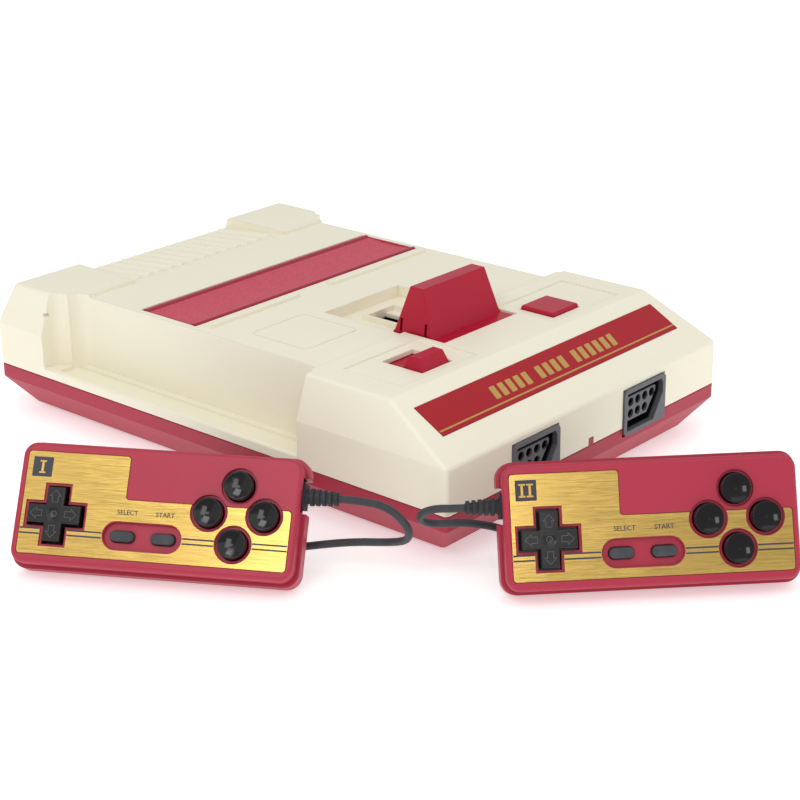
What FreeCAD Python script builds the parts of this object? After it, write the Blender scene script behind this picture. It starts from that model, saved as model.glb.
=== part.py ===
import FreeCAD, Part
import math
import os

# Video game console with two wired game pads.
# Millimetres, +Z up. The origin is on the floor under the middle of the console.
# The console's front faces -Y and its right side is +X.

V = FreeCAD.Vector

# ---- console: driving dimensions ----
WIDTH = 170.0
DEPTH = 246.0
FOOT_H = 1.5            # rubber feet stand out this far
CHAMFER_TOP = 13.7      # the lower case is upright above this height
SEAM = 19.4             # split line between the two cases
FRONT_TOP = 37.5        # top of the upright front face
DECK = 54.4             # top of the front block and of the rear blocks
MID_DECK = 53.2         # top of the middle deck
WALL = 2.4
CHAMFER_IN = 9.5        # how far the underside is drawn in
SLOPE_RUN = 31.2        # front face leans back over this run
LEAN = 5.9              # side walls lean in by this much at the top
BLOCK_END = 73.3        # front block, measured back from the front face
CRADLE_END = 217.3      # end of the side cradles
CRADLE_IN = 69.5        # half width between the cradle walls
CRADLE_FLOOR = 22.0
LIP_TOP = 23.6
REAR_SLOPE = 6.0
REAR_TOP = 38.8
SEAM_GAP = 0.4
SIDES = (-1, 1)

# ---- parts of the deck, measured back from the front face ----
FLAP_HALF = 66.2
FLAP_FRONT = 143.8
FLAP_PIN_Y = 172.9
FLAP_PIN_Z = 51.9
BARREL_R = 1.9
PIN_R = 0.8
WELL_HALF = 22.4
WELL_FRONT = 53.2
WELL_BACK = 115.6
WELL_FLOOR = 48.4
LEVER_FRONT = 60.5
LEVER_BACK = 79.6
LEVER_TOP = 72.0
PANEL_X = (24.0, 67.0)
PANEL_Y = (36.0, 64.4)
PANEL_FLOOR = 53.8
SWITCH_X = (-51.2, -33.8)
SWITCH_Y = (39.7, 59.4)
RESET_X = (28.7, 45.6)
RESET_Y = (40.1, 56.4)
RESET_TOP = 55.4
PORT_X = 34.45          # centre of each port
PORT_Z = 25.4
PORT_W = 27.7
PORT_H = 19.0
PORT_DEPTH = 17.0
BOARD_Z = 20.0
BOARD_T = 1.6
SLOT_Y = 159.0          # centre line of the cartridge slot
POSTS = [(x, y) for x in (-62.0, 62.0) for y in (28.0, 112.0, 229.0)]
POST_TOP = 52.0
FRONT_POST_TOP = 49.4   # the front posts end in the leaning wall

# ---- pads: driving dimensions, in the pad's own frame (x along, y up the face, z out) ----
PAD_W = 103.0
PAD_H = 45.0
PAD_T = 14.0
PAD_R = 5.5
FOOT_ROUND = 2.2        # rounding of the back shell, which the pad stands on
SPLIT = -6.2            # joint line between the two pad shells
SKIN = 1.8
CROSS = (-35.5, -4.1)
CROSS_SPAN = 19.0
CROSS_ARM = 6.4
ROUND_BUTTONS = {"up": (28.8, 10.3), "left": (19.1, 0.4), "right": (38.7, 0.4), "down": (28.8, -10.0)}
BUTTON_R = 5.15
BUTTON_TOP = 2.7
DISH_R = 20.0           # hollow in the top of each round button
RING_R = 6.3
TROUGH = (-3.6, -9.8)
TROUGH_W = 28.0
TROUGH_H = 9.6
PILL_DX = 7.3
PILL_W = 8.6
PILL_H = 3.8
GLAND_Z = -7.0
PLATE = [(-48, 18.1), (-10.9, 18.1), (-10.9, 2.9), (48, 2.9), (48, -18.1), (-48, -18.1)]

# ---- leads ----
LEAD_D = 2.8
COIL_OUTER = 19.6       # radius of the outer turns: ten turns, three wide and four high
COIL_R = 21.6
COIL_HOLE = 12.0
COIL_H = 11.4

# Each pad: heading of its long edge, how far its face tips up, middle of its foot
# edge on the floor, side and height of the gland, coil and plug places and the lead's
# route. Places and route are in the pad's floor frame: x along the pad, y behind it, z up.
PADS = {
    "pad_1": dict(
        heading=-59.8, tip=35.1, foot=(-155.2, -50.75), side=1, gland_y=9.6,
        coil=(-30.0, 33.0),
        route=[(62.4, 12.7, 29.4), (71.5, 12.7, 29.4), (81.0, 8.0, 29.6), (87.2, 8.8, 22.8),
               (86.6, 13.2, 15.6), (79.5, 18.4, 11.6), (64.0, 20.0, 10.0), (42.5, 17.6, 6.9),
               (21.0, 15.2, 3.4), (2.0, 13.6, 1.5), (-22.0, 13.4, 1.5)]),
    "pad_2": dict(
        heading=-44.1, tip=25.8, foot=(-51.3, -184.7), side=-1, gland_y=7.8,
        coil=(30.0, 30.0),
        route=[(-62.4, 6.9, 29.6), (-66.8, 6.9, 29.6), (-72.4, 6.5, 30.1), (-77.0, 8.9, 27.7),
               (-77.4, 13.6, 22.9), (-73.2, 16.7, 19.8), (-67.0, 16.6, 19.6), (-60.0, 16.6, 19.6),
               (-47.5, 17.2, 16.4), (-34.0, 16.0, 9.4), (-20.0, 13.2, 4.4), (-4.0, 10.8, 1.6),
               (22.0, 10.4, 1.5)]),
}
RELIEF_L = 10.9         # stands out of the pad's end
PLUG_L = 30.0
PLUG_W = 25.6           # grip
PLUG_H = 16.4
SHROUD_L = 9.0
POLE_Z = PLUG_H / 2     # height of the plug's middle line, lying on the floor


# ---- helpers ----
def at(back):
    """Y of a place measured back from the front face."""
    return back - DEPTH / 2


def box(x0, x1, y0, y1, z0, z1):
    return Part.makeBox(x1 - x0, y1 - y0, z1 - z0, V(x0, y0, z0))


def rod(centre, radius, length, axis=V(0, 0, 1)):
    return Part.makeCylinder(radius, length, V(*centre), axis)


def polygon(points):
    return Part.Face(Part.makePolygon([V(*p) for p in points] + [V(*points[0])]))


def fuse(shapes):
    first = shapes[0]
    return first.fuse(shapes[1:]).removeSplitter() if len(shapes) > 1 else first


def group(shapes):
    return Part.makeCompound(shapes)


def mirror_x(shape):
    return shape.mirror(V(0, 0, 0), V(1, 0, 0))


def round_edges(shape, radius, choose):
    edges = [e for e in shape.Edges if choose(e)]
    return shape.makeFillet(radius, edges)


def along(edge, axis):
    """True for a straight edge along the axis."""
    if not isinstance(edge.Curve, Part.Line):
        return False
    return abs(abs(edge.tangentAt(edge.FirstParameter).dot(axis)) - 1) < 1e-6


def slab(width, height, radius, z0, z1, centre=(0, 0)):
    """Upright prism on a rounded rectangle."""
    x, y = centre
    body = box(x - width / 2, x + width / 2, y - height / 2, y + height / 2, z0, z1)
    return round_edges(body, radius, lambda e: along(e, V(0, 0, 1)))


def export(name, shape):
    shape.exportStep("parts/" + name + ".step")


# ---- upper case ----
def case_block(inset, floor):
    """The upper case's solid form, drawn in by the inset on every side but the floor."""
    low = floor - inset - 4
    side = polygon([(0, at(0), low), (0, at(0), FRONT_TOP), (0, at(SLOPE_RUN), DECK),
                    (0, at(DEPTH - REAR_SLOPE), DECK), (0, at(DEPTH), REAR_TOP), (0, at(DEPTH), low)])
    half = WIDTH / 2
    ends = polygon([(-half, 0, low), (-half, 0, FRONT_TOP), (-half + LEAN, 0, DECK),
                    (half - LEAN, 0, DECK), (half, 0, FRONT_TOP), (half, 0, low)])
    if inset:
        side = side.makeOffset2D(-inset, 2)
        ends = ends.makeOffset2D(-inset, 2)
    long_way = side.extrude(V(WIDTH + 20, 0, 0))
    long_way.translate(V(-WIDTH / 2 - 10, 0, 0))
    cross_way = ends.extrude(V(0, DEPTH + 20, 0))
    cross_way.translate(V(0, at(0) - 10, 0))
    body = long_way.common(cross_way)
    return body.cut(box(-200, 200, -300, 300, low - 50, floor))


def cradle(grow):
    """The room of one side cradle, on the right, grown by the case's wall."""
    inner = CRADLE_IN - grow
    floor = CRADLE_FLOOR - grow
    deep = box(inner, 120, at(BLOCK_END - grow), at(CRADLE_END - 7 + grow), floor, 80)
    deep = round_edges(deep, 7 + grow,
                       lambda e: along(e, V(0, 0, 1)) and e.Vertexes[0].X < inner + 1
                       and e.Vertexes[0].Y > 0)
    step = box(inner + 6, 120, at(BLOCK_END - 1.6 - grow), at(CRADLE_END + grow), floor + 1.2, 80)
    step = round_edges(step, 5,
                       lambda e: along(e, V(0, 0, 1)) and e.Vertexes[0].X < inner + 7
                       and e.Vertexes[0].Y > 0)
    return deep.fuse(step)


def make_upper_case():
    outer = case_block(0, SEAM + SEAM_GAP / 2)
    outer = round_edges(outer, 1.8, lambda e: min(v.Z for v in e.Vertexes) > SEAM + 5
                        or along(e, V(0, 0, 1)))
    room = case_block(WALL, SEAM)
    for side in SIDES:
        hollow = cradle(WALL)
        room = room.cut(hollow if side > 0 else mirror_x(hollow))
    room = room.cut(box(-200, 200, at(BLOCK_END - 2.4), 300, MID_DECK - WALL, 90))
    rear_room = polygon([(0, at(200), MID_DECK - WALL), (0, at(203), MID_DECK - WALL - 0.3),
                         (0, at(250), 45.0), (0, at(250), 90), (0, at(200), 90)])
    rear_room = rear_room.extrude(V(100, 0, 0))
    rear_room.translate(V(-50, 0, 0))
    room = room.cut(rear_room)
    case = outer.cut(room)
    # the middle deck and the sloping vent field sit lower than the blocks
    cuts = [box(-CRADLE_IN - 20, CRADLE_IN + 20, at(BLOCK_END), at(203.5), MID_DECK, 90)]
    vent = polygon([(0, at(203.4), MID_DECK), (0, at(250), 48.4), (0, at(250), 90), (0, at(203.4), 90)])
    vent = vent.extrude(V(2 * 44.9, 0, 0))
    vent.translate(V(-44.9, 0, 0))
    cuts.append(vent)
    for side in SIDES:
        hollow = cradle(0)
        cuts.append(hollow if side > 0 else mirror_x(hollow))
        x0, x1 = sorted((side * PANEL_X[0], side * PANEL_X[1]))
        cuts.append(box(x0, x1, at(PANEL_Y[0]), at(PANEL_Y[1]), PANEL_FLOOR, 90))
    # flap opening, lever well, switch and reset openings
    cuts.append(box(-FLAP_HALF - 0.4, FLAP_HALF + 0.4, at(FLAP_FRONT - 0.4), at(FLAP_PIN_Y + 2.7), 40, 90))
    cuts.append(box(SWITCH_X[0], SWITCH_X[1], at(SWITCH_Y[0]), at(SWITCH_Y[1]), 40, 90))
    cuts.append(box(RESET_X[0] - 0.3, RESET_X[1] + 0.3, at(RESET_Y[0] - 0.3), at(RESET_Y[1] + 0.3), 40, 90))
    case = case.cut(cuts)
    # lever well: walls and floor under the deck, then the hollow and the slot for the lever's stem
    tub = box(-WELL_HALF - 1.8, WELL_HALF + 1.8, at(WELL_FRONT - 1.8), at(WELL_BACK + 1.8),
              WELL_FLOOR - 1.8, MID_DECK - 0.6)
    case = case.fuse(tub)
    case = case.cut([box(-WELL_HALF, WELL_HALF, at(WELL_FRONT), at(WELL_BACK), WELL_FLOOR, 90)])
    rail = box(-9.2, 9.2, at(64), at(107), WELL_FLOOR - 0.2, WELL_FLOOR + 2.0)
    rail = rail.cut(box(-7.8, 7.8, at(60), at(105.6), WELL_FLOOR - 1, 90))
    case = case.fuse(rail)
    extras = []
    # two ledge bars in front of the flap, with a finger gap between them
    for x0, x1 in ((-64.5, -14.5), (5.0, 64.5)):
        extras.append(box(x0, x1, at(136.6), at(140.0), MID_DECK - 0.3, MID_DECK + 1.1))
    # outer lip along each cradle floor
    for side in SIDES:
        x0, x1 = sorted((side * 82.0, side * (WIDTH / 2)))
        lip = box(x0, x1, at(BLOCK_END - 1), at(CRADLE_END + 1), CRADLE_FLOOR - 1, LIP_TOP)
        extras.append(round_edges(lip, 1.1, lambda e: along(e, V(0, 1, 0)) and e.Vertexes[0].Z > CRADLE_FLOOR))
        x0, x1 = sorted((side * (CRADLE_IN - 0.5), side * (CRADLE_IN + 3.2)))
        extras.append(box(x0, x1, at(BLOCK_END - 1), at(CRADLE_END - 8), CRADLE_FLOOR - 1, CRADLE_FLOOR + 1.0))
    # rounded ribs over the vent field
    slope = math.atan2(MID_DECK - 48.4, 250 - 203.4)
    for i in range(13):
        x = (i - 6) * 6.5
        rib = rod((x, at(207), MID_DECK - 1.1 - 3.6 * math.tan(slope)), 2.0, 33.0,
                  V(0, math.cos(slope), -math.sin(slope)))
        extras.append(rib)
    # screw posts
    for x, y in POSTS:
        top = FRONT_POST_TOP if y < SLOPE_RUN else POST_TOP
        extras.append(rod((x, at(y), CHAMFER_TOP), 3.4, top - CHAMFER_TOP))
    case = case.fuse(extras)
    cuts = [box(-3.2, 3.2, at(65.6), at(105.6), 30, WELL_FLOOR + 0.1)]
    cuts.append(rod((-CRADLE_IN + 0.5, at(FLAP_PIN_Y), FLAP_PIN_Z), PIN_R + 0.05, 2 * CRADLE_IN - 1.0,
                    V(1, 0, 0)))
    for x, y in POSTS:
        cuts.append(rod((x, at(y), CHAMFER_TOP - 1), 1.5, 20))
    for side in SIDES:
        cuts.append(port_opening(side))
        x0, x1 = sorted((side * 80.0, side * 83.2))
        cuts.append(box(x0, x1, at(CRADLE_END - 1), at(CRADLE_END + 1.6), 45.0, 46.4))
    cuts.append(nameplate_solid(0.15, 0.6))
    cuts += rear_openings()
    cuts.append(box(-1.6, 1.6, at(-1), at(WALL + 1), SEAM - 1, SEAM + 3.2))
    return case.cut(cuts)


def port_opening(side):
    x = side * PORT_X
    gap = 0.2
    return box(x - PORT_W / 2 - gap, x + PORT_W / 2 + gap, at(-5), at(WALL + 4),
               PORT_Z - PORT_H / 2 - gap, PORT_Z + PORT_H / 2 + gap)


def rear_openings():
    """Openings of the power inlet and of the two picture and sound sockets, in the back."""
    y = at(DEPTH - 8)
    return [rod((-48, y, 28), 4.3, 20, V(0, 1, 0)),
            rod((34, y, 28), 4.6, 20, V(0, 1, 0)),
            rod((48, y, 28), 4.6, 20, V(0, 1, 0))]


def nameplate_solid(gap, depth):
    """Bar lying in the leaning front face."""
    angle = math.atan2(DECK - FRONT_TOP, SLOPE_RUN)
    start, end = 12.8, 28.0
    bar = box(-73.3 - gap, 73.3 + gap, start - gap, end + gap, -depth, 0.2)
    bar.rotate(V(0, 0, 0), V(1, 0, 0), math.degrees(angle))
    bar.translate(V(0, at(0), FRONT_TOP))
    return bar


# ---- lower case ----
def tray_form(inset, floor):
    half = WIDTH / 2 - inset
    front = at(0) + inset
    back = at(DEPTH) - inset
    drawn = CHAMFER_IN
    low = polygon([(-half + drawn, front + drawn, floor), (half - drawn, front + drawn, floor),
                   (half - drawn, back - drawn, floor), (-half + drawn, back - drawn, floor)])
    high = polygon([(-half, front, CHAMFER_TOP), (half, front, CHAMFER_TOP),
                    (half, back, CHAMFER_TOP), (-half, back, CHAMFER_TOP)])
    skirt = Part.makeLoft([low.OuterWire, high.OuterWire], True, True)
    return skirt.fuse(box(-half, half, front, back, CHAMFER_TOP, SEAM - SEAM_GAP / 2)).removeSplitter()


def make_lower_case():
    outer = tray_form(0, FOOT_H)
    outer = round_edges(outer, 2.0, lambda e: min(v.Z for v in e.Vertexes) < CHAMFER_TOP - 1
                        and max(v.Z for v in e.Vertexes) > CHAMFER_TOP - 1 or along(e, V(0, 0, 1)))
    room = tray_form(WALL, FOOT_H + WALL)
    room = room.fuse(box(-WIDTH / 2 + WALL, WIDTH / 2 - WALL, at(WALL), at(DEPTH - WALL),
                         SEAM - 2, SEAM + 1))
    tray = outer.cut(room)
    extras = []
    for x, y in POSTS:
        extras.append(rod((x, at(y), FOOT_H + 0.5), 4.6, CHAMFER_TOP - 0.4 - FOOT_H - 0.5))
    for x in (-50.0, 50.0):
        for y in (86.0, 205.0):
            extras.append(rod((x, at(y), FOOT_H + 0.5), 3.0, BOARD_Z - 0.1 - FOOT_H - 0.5))
    for side in SIDES:
        x = side * PORT_X
        extras.append(box(x - 11, x + 11, at(11.6), at(16), FOOT_H + 0.5, PORT_Z - PORT_H / 2 - 0.1))
    # small tab that rises into the upper case at the middle of the front
    extras.append(box(-1.4, 1.4, at(0.1), at(WALL - 0.4), SEAM - 2, SEAM + 2.9))
    tray = tray.fuse(extras)
    cuts = []
    for x, y in POSTS:
        cuts.append(rod((x, at(y), 0), 1.8, 30))
        cuts.append(rod((x, at(y), 0), 3.3, FOOT_H + 4.5))
    for x, y in foot_places():
        cuts.append(rod((x, y, 0), 5.6, FOOT_H + 1.0))
    for side in SIDES:
        cuts.append(port_opening(side))
    return tray.cut(cuts)


def foot_places():
    """Four corner feet, and one in the middle that takes the push of a cartridge."""
    return [(x, at(y)) for x in (-58.0, 58.0) for y in (42.0, 204.0)] + [(0, 0)]


def make_feet():
    return group([rod((x, y, 0), 5.3, FOOT_H + 0.9) for x, y in foot_places()])


def make_case_screws():
    screws = []
    for x, y in POSTS:
        head = rod((x, at(y), FOOT_H + 2.4), 2.8, 2.0)
        screws.append(head.fuse(rod((x, at(y), FOOT_H + 4.3), 1.35, 22)))
    return group(screws)


# ---- ports ----
def port_recess(grow, depth):
    """Keyed recess: square on the left, drawn in at the lower right."""
    w, h = 12.0 + grow, 7.7 + grow
    face = polygon([(-w, 0, h), (w - 1.2, 0, h), (w, 0, h - 2.0), (w, 0, 1.6), (w - 6.2, 0, -h), (-w, 0, -h)])
    return face.extrude(V(0, depth, 0))


# core inside each port: its outline and its holes, seen from the front
CORE = [(-10.3, 5.7), (8.6, 5.7), (8.6, 3.4), (2.9, -4.2), (-10.3, -4.2)]
POLES = [(-7.9 + 4.7 * i, 3.2) for i in range(4)] + [(-7.9 + 4.7 * i, -1.5) for i in range(3)]
POLE_R = 1.8


def make_port(side):
    x = side * PORT_X
    body = box(-PORT_W / 2, PORT_W / 2, -0.8, PORT_DEPTH, -PORT_H / 2, PORT_H / 2)
    body = round_edges(body, 2.2, lambda e: along(e, V(0, 1, 0)))
    recess = port_recess(0, 12)
    recess.translate(V(0, -2, 0))
    body = body.cut(recess)
    body.translate(V(x, at(0), PORT_Z))
    return body


def make_port_inserts():
    """Core of each port: a plate at the bottom of the recess and a keyed block with seven round holes."""
    cores = []
    for side in SIDES:
        plate = port_recess(-0.25, 1.0)
        plate.translate(V(0, 8.95, 0))
        core = polygon([(x, 0.6, z) for x, z in CORE]).extrude(V(0, 8.6, 0))
        core = round_edges(core, 0.7, lambda e: along(e, V(0, 1, 0)))
        core = plate.fuse(core).cut([rod((px, 0, pz), POLE_R, 8.6, V(0, 1, 0)) for px, pz in POLES])
        core.translate(V(side * PORT_X, at(0), PORT_Z))
        cores.append(core)
    return group(cores)


def make_port_pins():
    """Sleeves at the bottom of the holes."""
    sleeves = []
    for side in SIDES:
        for px, pz in POLES:
            place = (side * PORT_X + px, at(5.0), PORT_Z + pz)
            sleeve = rod(place, 1.3, 3.6, V(0, 1, 0)).cut(rod(place, 0.95, 3.0, V(0, 1, 0)))
            sleeves.append(sleeve)
    return group(sleeves)


# ---- inside the console ----
def make_main_board():
    board = box(-56, 56, at(80), at(214), BOARD_Z, BOARD_Z + BOARD_T)
    return board.cut([rod((x, at(y), 0), 1.6, 60) for x in (-50.0, 50.0) for y in (86.0, 205.0)])


def make_cartridge_connector():
    top = BOARD_Z + BOARD_T
    body = box(-46, 46, at(SLOT_Y - 6), at(SLOT_Y + 6), top + 0.02, top + 14)
    body = body.cut(box(-41, 41, at(SLOT_Y - 2.2), at(SLOT_Y + 2.2), top + 3, top + 20))
    return body


def make_contacts():
    top = BOARD_Z + BOARD_T
    blades = []
    for i in range(30):
        x = (i - 14.5) * 2.54
        for side in SIDES:
            y = at(SLOT_Y) + side * 1.9
            blades.append(box(x - 0.5, x + 0.5, y - 0.2, y + 0.2, top + 3.1, top + 12.5))
    return group(blades)


def make_board_components():
    """Four chips and four capacitors on the main board."""
    top = BOARD_Z + BOARD_T + 0.02
    chips = [(-30, 100, 26, 13), (5, 100, 26, 13), (-30, 126, 22, 12), (8, 126, 18, 10)]
    cans = [(44, 100, 4.0, 11), (44, 112, 4.0, 11), (-42, 190, 3.2, 8), (-30, 190, 3.2, 8)]
    pieces = [box(x, x + w, at(y), at(y + d), top, top + 3.6) for x, y, w, d in chips]
    return group(pieces + [rod((x, at(y), top), r, h) for x, y, r, h in cans])


def make_regulator():
    top = BOARD_Z + BOARD_T + 0.02
    sink = [box(10, 40, at(186), at(188), top, top + 20)]
    sink += [box(10 + 5.6 * i, 12 + 5.6 * i, at(187.9), at(196), top, top + 20) for i in range(6)]
    return fuse(sink)


def barrel_socket(x, outer, bore, pin_r):
    """Round socket through the back wall, with its centre pin."""
    y = at(DEPTH) - 13.5
    body = rod((x, y, 28), outer, 14.1, V(0, 1, 0))
    body = body.cut(rod((x, y + 2, 28), bore, 20, V(0, 1, 0)))
    pin = rod((x, y + 1.9, 28), pin_r, 10, V(0, 1, 0))
    return body.fuse(pin)


def make_dc_jack():
    return barrel_socket(-48, 4.1, 2.8, 1.05)


def make_av_jacks():
    jacks = []
    for x in (34, 48):
        jack = barrel_socket(x, 4.2, 3.4, 1.6)
        sleeve = rod((x, at(DEPTH) + 0.05, 28), 4.4, 7, V(0, 1, 0))
        sleeve = sleeve.cut(rod((x, at(DEPTH) - 1, 28), 3.4, 20, V(0, 1, 0)))
        jacks.append(jack.fuse(sleeve))
    return group(jacks)


def make_power_switch():
    x = (SWITCH_X[0] + SWITCH_X[1]) / 2
    body = box(x - 6, x + 6, at(41), at(59), 36, 44)
    return body.cut(box(x - 2, x + 2, at(43.5), at(56.5), 40, 60))


def make_reset_switch():
    x = (RESET_X[0] + RESET_X[1]) / 2
    y = (RESET_Y[0] + RESET_Y[1]) / 2
    body = box(x - 3.5, x + 3.5, at(y - 3.5), at(y + 3.5), 36, 40)
    return body.fuse(rod((x, at(y), 39.5), 1.7, 2.0))


def make_switch_bracket():
    """Plate on two posts that holds the two switches up under the deck."""
    plate = box(-53, 53, at(38.5), at(61), 34.2, 35.95)
    legs = [box(x - 3, x + 3, at(47), at(53), FOOT_H + WALL + 0.05, 34.3) for x in (-20, 20)]
    return fuse([plate] + legs)


# ---- moving pieces of the console ----
def make_power_slider():
    x0, x1 = SWITCH_X[0] + 0.4, SWITCH_X[1] - 0.4
    y0 = SWITCH_Y[0] + 0.25
    # the plate closes the opening over the whole travel
    plate = box(x0 - 2.5, x1 + 2.5, at(32.5), at(60.0), 50.4, 51.7)
    foot = box(x0, x1, at(y0), at(y0 + 12), 51.6, 53.4)
    profile = polygon([(x0, at(y0 + 0.6), 53.3), (x0, at(y0 + 2.9), 58.2), (x0, at(y0 + 7.4), 58.2),
                       (x0, at(y0 + 9.8), 53.3)])
    knob = profile.extrude(V(x1 - x0, 0, 0))
    lean = polygon([(x0 + 0.5, at(y0), 53.2), (x0 + 1.7, at(y0), 58.4), (x1 - 1.7, at(y0), 58.4),
                    (x1 - 0.5, at(y0), 53.2)])
    knob = knob.common(lean.extrude(V(0, 14, 0)))
    stem = box((x0 + x1) / 2 - 1.4, (x0 + x1) / 2 + 1.4, at(44.5), at(48.5), 41.0, 50.5)
    return fuse([plate, foot, knob, stem])


def make_reset_button():
    cx = (RESET_X[0] + RESET_X[1]) / 2
    cy = at((RESET_Y[0] + RESET_Y[1]) / 2)
    w, d = RESET_X[1] - RESET_X[0], RESET_Y[1] - RESET_Y[0]
    cap = slab(w, d, 0.8, 49.0, RESET_TOP, (cx, cy))
    cap = cap.makeChamfer(0.6, [e for e in cap.Edges if e.BoundBox.ZMin > RESET_TOP - 0.1])
    flange = box(cx - w / 2 - 1.4, cx + w / 2 + 1.4, cy - d / 2 - 1.4, cy + d / 2 + 1.4, 48.0, 49.6)
    return fuse([cap, flange, rod((cx, cy, 43.2), 2.0, 5.5)])


def make_eject_lever():
    half = 21.2
    top_half = 18.8
    front, back = at(LEVER_FRONT), at(LEVER_BACK)
    mid = (front + back) / 2
    plate = box(-21.6, 21.6, at(WELL_FRONT + 0.6), back, 52.2, 53.7)
    side = polygon([(-half, front, 53.6), (-half, mid - 3.4, LEVER_TOP), (-half, mid + 3.4, LEVER_TOP),
                    (-half, back, 53.6)]).extrude(V(2 * half, 0, 0))
    ends = polygon([(-half, front - 5, 53.6), (-top_half, front - 5, LEVER_TOP),
                    (top_half, front - 5, LEVER_TOP), (half, front - 5, 53.6)]).extrude(V(0, 40, 0))
    grip = side.common(ends)
    grip = grip.makeFillet(0.7, [e for e in grip.Edges if e.BoundBox.ZMax > 60])
    slots = []
    for s in SIDES:
        for y in (front + 3.4, back - 3.4):
            slots.append(box(s * half - 2.6, s * half + 2.6, y - 0.6, y + 0.6, 53.7, 59.0))
    hollow = box(-16, 16, mid - 5, mid + 5, 50, 64)
    stem = box(-2.4, 2.4, mid - 3.5, mid + 3.5, 43.0, 64.2)
    runners = [box(s * 13 - 1.5, s * 13 + 1.5, at(WELL_FRONT + 1), back, WELL_FLOOR + 0.3, 52.3) for s in SIDES]
    return fuse([plate, grip] + runners).cut(slots + [hollow]).fuse(stem)


def make_ejector():
    """Lifting frame round the cartridge connector."""
    frame = box(-53, 53, at(SLOT_Y - 10), at(SLOT_Y + 10), 37.0, 39.0)
    frame = frame.cut(box(-47, 47, at(SLOT_Y - 6.8), at(SLOT_Y + 6.8), 30, 50))
    guides = [box(x - 2, x + 2, at(SLOT_Y - 3), at(SLOT_Y + 3), 26.0, 37.2) for x in (-50, 50)]
    return fuse([frame] + guides)


def make_flap():
    plate = box(-FLAP_HALF, FLAP_HALF, at(FLAP_FRONT + 0.8), at(FLAP_PIN_Y), 51.4, 53.2)
    dish = rod((-FLAP_HALF + 0.01, at((FLAP_FRONT + FLAP_PIN_Y) / 2), 53.2 + 140 - 0.75), 140,
               2 * FLAP_HALF - 0.02, V(1, 0, 0))
    bead = rod((-FLAP_HALF, at(FLAP_FRONT + 1.2), 52.6), 1.2, 2 * FLAP_HALF, V(1, 0, 0))
    barrel = rod((-FLAP_HALF, at(FLAP_PIN_Y), FLAP_PIN_Z), BARREL_R, 2 * FLAP_HALF, V(1, 0, 0))
    hole = rod((-FLAP_HALF - 1, at(FLAP_PIN_Y), FLAP_PIN_Z), PIN_R + 0.05, 2 * FLAP_HALF + 2, V(1, 0, 0))
    return plate.cut(dish).fuse([bead, barrel]).cut(hole).removeSplitter()


def make_flap_pin():
    half = CRADLE_IN - 0.7
    return rod((-half, at(FLAP_PIN_Y), FLAP_PIN_Z), PIN_R, 2 * half, V(1, 0, 0))


# ---- pads, in the pad's own frame ----
def cross_prism(span, arm, z0, z1, centre=CROSS):
    x, y = centre
    return fuse([box(x - span / 2, x + span / 2, y - arm / 2, y + arm / 2, z0, z1),
                 box(x - arm / 2, x + arm / 2, y - span / 2, y + span / 2, z0, z1)])


def pill(width, height, z0, z1, centre):
    x, y = centre
    half = (width - height) / 2
    return fuse([box(x - half, x + half, y - height / 2, y + height / 2, z0, z1),
                 rod((x - half, y, z0), height / 2, z1 - z0), rod((x + half, y, z0), height / 2, z1 - z0)])


def pill_places():
    return {"select": (TROUGH[0] - PILL_DX, TROUGH[1]), "start": (TROUGH[0] + PILL_DX, TROUGH[1])}


def screw_places():
    return [(x, y) for x in (-44.6, 44.6) for y in (-15.6, 15.6)]


def gland_notch(pad, depth):
    s = pad["side"]
    x0, x1 = sorted((s * (PAD_W / 2 - depth), s * (PAD_W / 2 + 5)))
    return box(x0, x1, pad["gland_y"] - 6.2, pad["gland_y"] + 6.2, -20, -2.4)


def gland_bore(pad, radius):
    s = pad["side"]
    return rod((s * (PAD_W / 2 - 8), pad["gland_y"], GLAND_Z), radius, 12, V(s, 0, 0))


def make_front_shell(pad):
    w, h = PAD_W - 2.4, PAD_H - 2.4
    shell = slab(w, h, PAD_R - 0.6, SPLIT + 0.15, 0.5)
    shell = shell.makeFillet(1.4, [e for e in shell.Edges if e.BoundBox.ZMin > 0.4])
    inner = slab(w - 2 * SKIN, h - 2 * SKIN, PAD_R - SKIN, SPLIT - 1, -SKIN)
    shell = shell.cut(inner)
    wells = [rod((x, y, -5.6), RING_R + 1.1, 4.0) for x, y in ROUND_BUTTONS.values()]
    wells.append(pill(TROUGH_W + 1.6, TROUGH_H + 1.6, -4.6, -1.5, TROUGH))
    posts = [rod((x, y, -9.2), 2.2, 8.2) for x, y in screw_places()]
    shell = shell.fuse(wells + posts)
    plate = plate_outline(0.15, -0.12, 3)
    cuts = [plate, cross_prism(CROSS_SPAN + 1.6, CROSS_ARM + 1.6, -9, 3)]
    for x, y in ROUND_BUTTONS.values():
        cuts.append(rod((x, y, -0.5), RING_R, 4))
        cuts.append(rod((x, y, -9), BUTTON_R + 0.3, 12))
        cuts.append(rod((x, y, -9), RING_R + 0.2, 6.6))
    cuts.append(pill(TROUGH_W, TROUGH_H, -1.4, 3, TROUGH))
    for place in pill_places().values():
        cuts.append(pill(PILL_W + 0.5, PILL_H + 0.5, -9, 3, place))
        cuts.append(pill(PILL_W + 2.6, PILL_H + 2.6, -9, -2.7, place))
    cuts += [rod((x, y, -12), 0.95, 9) for x, y in screw_places()]
    cuts.append(gland_notch(pad, 3.0))
    cuts.append(gland_bore(pad, 2.9))
    return shell.cut(cuts)


def plate_outline(grow, z0, z1):
    face = polygon([(x, y, z0) for x, y in PLATE])
    face = face.makeOffset2D(grow, 2)
    body = face.extrude(V(0, 0, z1 - z0))
    return round_edges(body, 1.2, lambda e: along(e, V(0, 0, 1)))


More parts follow.
